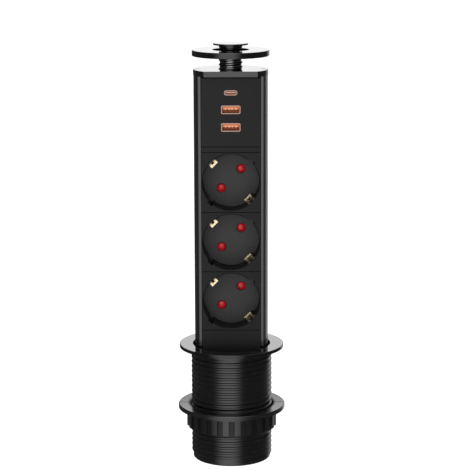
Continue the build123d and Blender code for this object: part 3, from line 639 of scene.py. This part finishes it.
class DESKSOCKET_OT_collar(bpy.types.Operator):
    """Make the threaded barrel with its flange plate, and the glossy ring over the flange"""

    bl_idname = "desksocket.collar"
    bl_label = "Collar"

    def execute(self, context):
        sizes = context.scene.desk_socket_sizes
        low, high = corners("collar_body")
        spigot_bottom = -COLLAR_SPIGOT_DEPTH
        builder = bmesh.new()
        threaded_sleeve(
            builder, low=BARREL_THREAD_LOW, high=spigot_bottom + SLEEVE_LAP, start=BARREL_THREAD_LOW,
            inner=BARREL_RADIUS - SLEEVE_WALL, **BARREL_THREAD,
        )
        turned(builder, [
            (COLLAR_BORE, low.z), (BARREL_RADIUS - BARREL_CHAMFER, low.z),
            (BARREL_RADIUS, low.z + BARREL_CHAMFER), (BARREL_RADIUS, spigot_bottom),
            (COLLAR_SPIGOT_RADIUS, spigot_bottom), (COLLAR_SPIGOT_RADIUS, high.z - COLLAR_PLATE),
            (high.x, high.z - COLLAR_PLATE), (high.x, high.z), (COLLAR_RECESS, high.z),
            (COLLAR_RECESS, -COLLAR_RECESS_DEPTH), (COLLAR_BORE, -COLLAR_RECESS_DEPTH),
        ])
        settle(builder, "barrel", "collar_body", ("collar_body",))

        pocket = high.x + sizes.fit
        plate_top = high.z
        low, high = corners("flange_trim")
        builder = bmesh.new()
        turned(builder, [
            (COLLAR_RECESS, plate_top), (pocket, plate_top), (pocket, low.z), (high.x, low.z),
            (high.x, high.z), (COLLAR_RECESS, high.z),
        ], steps=2 * ROUND_STEPS)
        round_edges(builder, sizes.flange_round, on_circle(high.x, high.z), RIM_STEPS)
        round_edges(builder, sizes.flange_mouth, on_circle(COLLAR_RECESS, high.z), MOUTH_STEPS)
        settle(builder, "flange_ring", "flange_trim", ("flange_trim",))
        return {"FINISHED"}


# Lid, stem and knob
KNOB_THICKNESS = 1.2
KNOB_BOSS_RADIUS = 7.95
KNOB_BOSS_HEIGHT = 2.0
KNOB_ROD_RADIUS = 6.4
KNOB_RECESS_GAP = 0.45
KNOB_RECESS_FLOOR_GAP = 0.1
KNOB_BOSS_GAP = 0.25
KNOB_SCREW_HOLE = 1.55
KNOB_SCREW_DEPTH = 5.1
STEM_FLANGE_RADIUS = 10.9
STEM_FLANGE_THICKNESS = 0.7
STEM_BORE = 6.6
STEM_FLOOR = 1.2
STEM_SCREW_HOLE = 1.8
STEM_SHOULDER = 3.0
STEM_NECK_RADIUS = 4.4
STEM_NECK_LENGTH = 2.6
STEM_GROOVE_RADIUS = 3.6
STEM_GROOVE_DROP = 1.75
STEM_GROOVE_WIDTH = 0.6
STEM_LENGTH = 13.5
STEM_THREAD = {"root": 7.4, "depth": 0.7, "pitch": 3.0, "base": 1.9, "tip": 0.6}
STEM_CORE_RADIUS = 7.3


class DESKSOCKET_OT_lid(bpy.types.Operator):
    """Make the lid, the threaded stem that raises it and the finger knob in its middle"""

    bl_idname = "desksocket.lid"
    bl_label = "Lid, stem and knob"

    def execute(self, context):
        sizes = context.scene.desk_socket_sizes
        low, high = corners("lid_disc")
        knob_low, knob_high = corners("knob")
        mouth = knob_high.x + KNOB_RECESS_GAP
        floor = high.z - KNOB_THICKNESS - KNOB_RECESS_FLOOR_GAP
        hole = KNOB_BOSS_RADIUS + KNOB_BOSS_GAP
        pocket = STEM_FLANGE_RADIUS + sizes.fit
        ceiling = low.z + STEM_FLANGE_THICKNESS + sizes.fit
        builder = bmesh.new()
        turned(builder, [
            (hole, ceiling), (pocket, ceiling), (pocket, low.z), (high.x, low.z), (high.x, high.z),
            (mouth, high.z), (mouth, floor), (hole, floor),
        ], steps=2 * ROUND_STEPS)
        round_edges(builder, sizes.lid_round, on_circle(high.x, high.z), RIM_STEPS)
        round_edges(builder, sizes.lid_round, on_circle(high.x, low.z), RIM_STEPS)
        round_edges(builder, sizes.fine_edge, on_circle(mouth, high.z))
        settle(builder, "lid_plate", "lid_disc", ("lid_disc",))

        under = knob_high.z - KNOB_THICKNESS
        boss_under = under - KNOB_BOSS_HEIGHT
        builder = bmesh.new()
        turned(builder, [
            (0, knob_high.z), (knob_high.x, knob_high.z), (knob_high.x, under), (KNOB_BOSS_RADIUS, under),
            (KNOB_BOSS_RADIUS, boss_under), (KNOB_ROD_RADIUS, boss_under), (KNOB_ROD_RADIUS, knob_low.z),
            (KNOB_SCREW_HOLE, knob_low.z), (KNOB_SCREW_HOLE, knob_low.z + KNOB_SCREW_DEPTH),
            (0, knob_low.z + KNOB_SCREW_DEPTH),
        ])
        round_edges(builder, sizes.knob_round, on_circle(knob_high.x, knob_high.z), RIM_STEPS)
        round_edges(builder, sizes.knob_round, on_circle(knob_high.x, under), RIM_STEPS)
        round_edges(builder, sizes.fine_edge, on_circle(KNOB_BOSS_RADIUS, boss_under))
        settle(builder, "finger_knob", "knob", ("knob",))

        bottom = low.z - STEM_LENGTH
        groove_top = bottom - STEM_GROOVE_DROP
        builder = bmesh.new()
        threaded_sleeve(
            builder, low=bottom, high=low.z + SLEEVE_LAP, start=bottom, inner=STEM_BORE + SLEEVE_WALL,
            **STEM_THREAD,
        )
        turned(builder, [
            (STEM_BORE, bottom + STEM_FLOOR), (STEM_SCREW_HOLE, bottom + STEM_FLOOR),
            (STEM_SCREW_HOLE, bottom), (STEM_SHOULDER, bottom),
            (STEM_SHOULDER, bottom - STEM_NECK_LENGTH), (STEM_NECK_RADIUS, bottom - STEM_NECK_LENGTH),
            (STEM_NECK_RADIUS, groove_top - STEM_GROOVE_WIDTH),
            (STEM_GROOVE_RADIUS, groove_top - STEM_GROOVE_WIDTH), (STEM_GROOVE_RADIUS, groove_top),
            (STEM_NECK_RADIUS, groove_top), (STEM_NECK_RADIUS, bottom), (STEM_CORE_RADIUS, bottom),
            (STEM_CORE_RADIUS, low.z), (STEM_FLANGE_RADIUS, low.z),
            (STEM_FLANGE_RADIUS, low.z + STEM_FLANGE_THICKNESS), (STEM_BORE, low.z + STEM_FLANGE_THICKNESS),
        ], THREAD_STEPS)
        settle(builder, "threaded_stem", "lid_stem", ("lid_stem",))

        low, high = corners("knob_spring")
        coil = settle(copy_of("knob_spring"), "pressed_spring", "knob_spring", ("knob_spring",))
        1 + lowest("knob_slide") / MILLIMETRE / (high.z - low.z)
        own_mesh(coil)
        return {"FINISHED"}


# Moulded and drawn parts whose shape is right and whose edges are too keen
MOULDED = ("guide_block", "base_cap", "terminal_block", "cable_gland", "gland_locknut", "gland_nut",
           "usb_feed_block", "usb_transformer", "gland_seal", "desk_gasket", "lid_seat_ring",
           "contact_carrier_1", "contact_carrier_2", "contact_carrier_3")
PANELS = ("usb_panel", "spacer_strip", "lower_panel", "socket_front_1", "socket_front_2", "socket_front_3")
SHEETS = ("earth_clip_1", "earth_clip_2", "earth_clip_3", "pin_contacts_1", "pin_contacts_2",
          "pin_contacts_3", "live_busbar", "neutral_busbar", "earth_busbar")
SHUTTERS = ("shutter_1", "shutter_2", "shutter_3")


class DESKSOCKET_OT_edges(bpy.types.Operator):
    """Round the edges of the moulded, drawn and pressed parts"""

    bl_idname = "desksocket.edges"
    bl_label = "Soft edges"

    def execute(self, context):
        sizes = context.scene.desk_socket_sizes
        for node in MOULDED:
            softened(node, sizes.moulded_edge)
        for node in PANELS:
            softened(node, sizes.panel_edge)
        for node in SHEETS:
            softened(node, sizes.sheet_edge)
        for node in SHUTTERS:
            softened(node, sizes.moulded_edge)
        softened("tower_extrusion", sizes.panel_edge, lambda edge: edge.calc_length() > sizes.long_edge)
        softened("tower_cap", sizes.moulded_edge, lambda edge: off_axis(edge) > sizes.tapped_reach)
        softened("clamp_washer", sizes.moulded_edge)
        softened("clamp_nut", sizes.rib_edge, lambda edge: off_axis(edge) > sizes.nut_thread_reach)
        return {"FINISHED"}


# Lead-in tabs of the earth clips
CLIP_ANGLES = (135.0, -45.0)
TAB_OUTER = 19.0
TAB_INNER = 15.3
TAB_BRIDGE = 1.5
TAB_HALF_WIDTH = 2.9
TAB_HALF_SLOT = 0.95
TAB_THICKNESS = 0.5
TAB_TILT = 11.0
TAB_ROUND = 0.12


class DESKSOCKET_OT_tabs(bpy.types.Operator):
    """Make the slotted tab at the mouth of each earth clip"""

    bl_idname = "desksocket.tabs"
    bl_label = "Earth clip tabs"

    def execute(self, context):
        for number in (1, 2, 3):
            like = f"earth_clip_{number}"
            low, high = corners(like)
            builder = bmesh.new()
            for angle in CLIP_ANGLES:
                bridge_end = TAB_INNER + TAB_BRIDGE
                made = []
                for side in (-1, 1):
                    near, far = sorted((side * TAB_HALF_SLOT, side * TAB_HALF_WIDTH))
                    made += brick(builder, Vector((TAB_INNER, 0, near)),
                                  Vector((TAB_OUTER, TAB_THICKNESS, far)))
                made += brick(builder, Vector((TAB_INNER, 0, -TAB_HALF_SLOT)),
                              Vector((bridge_end, TAB_THICKNESS, TAB_HALF_SLOT)))
                hinge = Matrix.Translation((TAB_OUTER, 0, 0))
                lean = hinge @ Matrix.Rotation(math.radians(TAB_TILT), 4, "Z") @ hinge.inverted()
                place = Matrix.Translation((0, low.y - TAB_THICKNESS, (low.z + high.z) / 2))
                turn = place @ Matrix.Rotation(math.radians(-angle), 4, "Y") @ lean
                bmesh.ops.transform(builder, matrix=turn, verts=made)
            round_edges(builder, TAB_ROUND)
            settle(builder, like + "_tabs", like)
        return {"FINISHED"}


# USB ports
USB_WALL = 0.35
USB_A_CORNER = 0.8
USB_LIP = 0.75
USB_LIP_DEPTH = 0.9
USB_FRONT_ROUND = 0.08
USB_C_FLAT = 0.1
USB_PAD_WIDTH = 1.0
USB_PAD_PROUD = 0.1
USB_PAD_LENGTH = 7.4
USB_PAD_RISE = 0.5
USB_PAD_PLACES = (-3.5, -1.0, 1.0, 3.5)
USB_TONGUE_SETBACK = 1.1
USB_A_TONGUE_THICKNESS = 1.9
USB_A_TONGUE_RISE = 1.1
USB_C_PAD_WIDTH = 0.25
USB_C_PAD_PITCH = 0.5
USB_C_PAD_COUNT = 12
USB_C_PAD_LENGTH = 4.0
USB_C_TONGUE_THICKNESS = 0.7


class DESKSOCKET_OT_usb(bpy.types.Operator):
    """Make the shells, tongues and contact pads of the USB ports"""

    bl_idname = "desksocket.usb"
    bl_label = "USB ports"

    def execute(self, context):
        sizes = context.scene.desk_socket_sizes
        for port in ("usb_a_upper", "usb_a_lower", "usb_c"):
            shell = port + "_shell"
            low, high = corners(shell)
            corner = USB_A_CORNER if port != "usb_c" else (high.z - low.z) / 2 - USB_C_FLAT
            builder = bmesh.new()
            rounded_tube(builder, low, high, corner, USB_WALL, USB_LIP, USB_LIP_DEPTH)
            round_edges(builder, USB_FRONT_ROUND, lambda edge: middle_of(edge).y < low.y + MERGE_DISTANCE)
            settle(builder, port + "_sleeve", shell, (shell,))
            softened(port + "_tongue", sizes.fine_edge)

            centre = (low.z + high.z) / 2
            tip = low.y + USB_TONGUE_SETBACK
            builder = bmesh.new()
            if port == "usb_c":
                half = USB_C_TONGUE_THICKNESS / 2 + USB_PAD_PROUD / 2
                for number in range(USB_C_PAD_COUNT):
                    place = (number - (USB_C_PAD_COUNT - 1) / 2) * USB_C_PAD_PITCH
                    reach = USB_C_PAD_WIDTH / 2
                    start = tip + USB_C_PAD_PITCH
                    brick(builder, Vector((place - reach, start, centre - half)),
                          Vector((place + reach, start + USB_C_PAD_LENGTH, centre + half)))
            else:
                under = centre + USB_A_TONGUE_RISE - USB_A_TONGUE_THICKNESS / 2
                for place in USB_PAD_PLACES:
                    reach = USB_PAD_WIDTH / 2
                    brick(builder, Vector((place - reach, tip - USB_PAD_PROUD, under - USB_PAD_PROUD)),
                          Vector((place + reach, tip + USB_PAD_LENGTH, under + USB_PAD_RISE)))
            round_edges(builder, USB_PAD_PROUD / 2)
            pads = settle(builder, port + "_pads", shell)
            dress(pads, FINISHES["contact_brass"])
        return {"FINISHED"}


# Studio
IMAGE_SIZE = 470
FOCAL_PIXELS = 1850.0
AXIS_PIXEL = 231.2
SENSOR_WIDTH = 36.0
FLOOR_SIZE = 60.0
FLOOR_GAP = 0.0003
SURROUND_RADIUS = 0.35
SURROUND_BOTTOM = -0.6
SURROUND_TOP = 0.9
SURROUND_SEGMENTS = 128
FRONT_LOW_LEVEL = -0.14
FRONT_HIGH_LEVEL = 0.12
TOP_LOW_LEVEL = 0.45
BACK_LOW_LEVEL = 0.055
BACK_HIGH_LEVEL = 0.072
BACK_BLUR = math.radians(7)
BACK_FADE_LOW = 0.1
BACK_FADE_HIGH = 0.2
BACK_FADE = 0.18
RIM_BLUR = math.radians(28)
RIM_END = math.radians(160)
CLIP_START = 0.05
CLIP_END = 200.0
LIT_POINT = (0, 0, 0.06)
KEY_PLACE = (-0.55, -1.9, 0.85)
KEY_SIZE = 1.3
TOP_PLACE = (0, 0.2, 2.2)
TOP_SIZE = 2.4


def add_light(name, power, size, place):
    """A square soft light aimed at the part, which its gloss doesn't mirror."""
    data = bpy.data.lights.new(name, "AREA")
    data.shape = "RECTANGLE"
    data.size = size
    data.size_y = size
    data.energy = power
    light = bpy.data.objects.new(name, data)
    light.location = place
    aim = Vector(LIT_POINT) - Vector(place)
    light.rotation_euler = aim.to_track_quat("-Z", "Y").to_euler()
    light.visible_camera = False
    light.visible_glossy = False
    bpy.context.scene.collection.objects.link(light)


def add_floor(studio):
    """A floor under the lowest point that the lowered tower reaches."""
    mesh = bpy.data.meshes.new("studio_floor")
    builder = bmesh.new()
    bmesh.ops.create_grid(builder, x_segments=1, y_segments=1, size=FLOOR_SIZE / 2)
    level = packed_box[0].z + lowest("tower_slide") - FLOOR_GAP
    bmesh.ops.translate(builder, verts=builder.verts, vec=(0, 0, level))
    builder.to_mesh(mesh)
    builder.free()
    floor = bpy.data.objects.new("studio_floor", mesh)
    bpy.context.scene.collection.objects.link(floor)
    shade = studio.floor_shade
    paint = Finish("studio_floor", (shade, shade, shade), 0.9, specular_ior_level=0.1)
    mesh.materials.append(paint.material)
    floor.visible_glossy = False


def add_camera(studio):
    """The camera at the photograph's viewing angle."""
    data = bpy.data.cameras.new("camera")
    data.sensor_width = SENSOR_WIDTH
    data.lens = FOCAL_PIXELS / IMAGE_SIZE * SENSOR_WIDTH
    data.clip_start = CLIP_START
    data.clip_end = CLIP_END
    camera = bpy.data.objects.new("camera", data)
    aside = (IMAGE_SIZE / 2 - AXIS_PIXEL) / FOCAL_PIXELS * studio.distance
    back = Vector((0, -math.cos(studio.pitch), math.sin(studio.pitch)))
    camera.location = Vector((aside, 0, studio.look_height)) + back * studio.distance
    turn = (-back).to_track_quat("-Z", "Y").to_matrix().to_4x4() @ Matrix.Rotation(studio.roll, 4, "Z")
    camera.rotation_euler = turn.to_euler()
    bpy.context.scene.collection.objects.link(camera)
    bpy.context.scene.camera = camera


def surround_light(finish, studio):
    """What the gloss of the part mirrors: a soft panel in front, a bright one behind, dark between."""
    x, y, z = finish.axes()
    turn = finish.node("ShaderNodeMath", {"operation": "ARCTAN2"}, {0: x, 1: y * -1.0})
    away = (turn - studio.front_turn).size()
    low_share = studio.front_low_share
    climb = low_share + z.rise(FRONT_LOW_LEVEL, FRONT_HIGH_LEVEL) * (1 - low_share)
    front = (1 - away.rise(studio.front_core, studio.front_reach)) * climb * studio.front_light
    high = z.rise(BACK_LOW_LEVEL, BACK_HIGH_LEVEL) * (1 - z.rise(BACK_FADE_LOW, BACK_FADE_HIGH) * BACK_FADE)
    back = turn.size().rise(studio.back_reach, studio.back_reach + BACK_BLUR) * high * studio.back_light
    rim = turn.rise(studio.rim_turn, studio.rim_turn + RIM_BLUR)
    rim = rim * (1 - turn.rise(RIM_END, RIM_END + BACK_BLUR))
    above = z.rise(TOP_LOW_LEVEL, SURROUND_TOP) * studio.over_light
    return front + back + rim * studio.rim_light + above + studio.dark_light


def add_surround(studio):
    """A drum round the part that only its gloss sees."""
    mesh = bpy.data.meshes.new("studio_surround")
    builder = bmesh.new()
    bmesh.ops.create_cone(
        builder, cap_ends=True, segments=SURROUND_SEGMENTS, radius1=SURROUND_RADIUS,
        radius2=SURROUND_RADIUS, depth=SURROUND_TOP - SURROUND_BOTTOM,
    )
    bmesh.ops.translate(builder, verts=builder.verts, vec=(0, 0, (SURROUND_TOP + SURROUND_BOTTOM) / 2))
    builder.to_mesh(mesh)
    builder.free()
    drum = bpy.data.objects.new("studio_surround", mesh)
    bpy.context.scene.collection.objects.link(drum)
    glow = Finish("studio_surround", (0.0, 0.0, 0.0), 1.0, specular_ior_level=0.0)
    glow.set("Emission Color", surround_light(glow, studio))
    glow.set("Emission Strength", 1.0)
    glow.material.cycles.emission_sampling = "NONE"
    mesh.materials.append(glow.material)
    for sight in ("camera", "diffuse", "transmission", "volume_scatter", "shadow"):
        setattr(drum, "visible_" + sight, False)


class DESKSOCKET_OT_stage(bpy.types.Operator):
    """Set up the floor, the lights, the surroundings and the camera"""

    bl_idname = "desksocket.stage"
    bl_label = "Studio"

    def execute(self, context):
        studio = context.scene.desk_socket_studio
        add_floor(studio)
        add_surround(studio)
        add_camera(studio)
        add_light("key", studio.key_power, KEY_SIZE, KEY_PLACE)
        add_light("top", studio.top_power, TOP_SIZE, TOP_PLACE)
        world = bpy.data.worlds.new("surroundings")
        context.scene.world = world
        world.use_nodes = True
        background = world.node_tree.nodes["Background"]
        background.inputs["Color"].default_value = (1.0, 1.0, 1.0, 1.0)
        background.inputs["Strength"].default_value = studio.sky_light
        world.cycles_visibility.glossy = False
        context.scene.view_settings.view_transform = "Standard"
        return {"FINISHED"}


class DESKSOCKET_PT_panel(bpy.types.Panel):
    """Lists the steps and their settings"""

    bl_idname = "DESKSOCKET_PT_panel"
    bl_label = "Desk socket"
    bl_space_type = "VIEW_3D"
    bl_region_type = "UI"
    bl_category = "Desk socket"

    def draw(self, context):
        layout = self.layout
        for step in STEPS:
            layout.operator(step.bl_idname)
        scene = context.scene
        for group in (scene.desk_socket_look, scene.desk_socket_sizes, scene.desk_socket_studio):
            for label in group.bl_rna.properties.keys():
                if label not in ("rna_type", "name"):
                    layout.prop(group, label)


STEPS = (DESKSOCKET_OT_finishes, DESKSOCKET_OT_collar, DESKSOCKET_OT_lid, DESKSOCKET_OT_edges,
         DESKSOCKET_OT_tabs, DESKSOCKET_OT_usb, DESKSOCKET_OT_stage)
GROUPS = (DeskSocketLook, DeskSocketSizes, DeskSocketStudio)


def register():
    for cls in (*GROUPS, *STEPS, DESKSOCKET_PT_panel):
        bpy.utils.register_class(cls)
    bpy.types.Scene.desk_socket_look = bpy.props.PointerProperty(type=DeskSocketLook)
    bpy.types.Scene.desk_socket_sizes = bpy.props.PointerProperty(type=DeskSocketSizes)
    bpy.types.Scene.desk_socket_studio = bpy.props.PointerProperty(type=DeskSocketStudio)


def unregister():
    del bpy.types.Scene.desk_socket_studio
    del bpy.types.Scene.desk_socket_sizes
    del bpy.types.Scene.desk_socket_look
    for cls in reversed((*GROUPS, *STEPS, DESKSOCKET_PT_panel)):
        bpy.utils.unregister_class(cls)


def main():
    register()
    for step in STEPS:
        getattr(bpy.ops.desksocket, step.bl_idname.split(".")[1])()


if __name__ == "__main__":
    main()
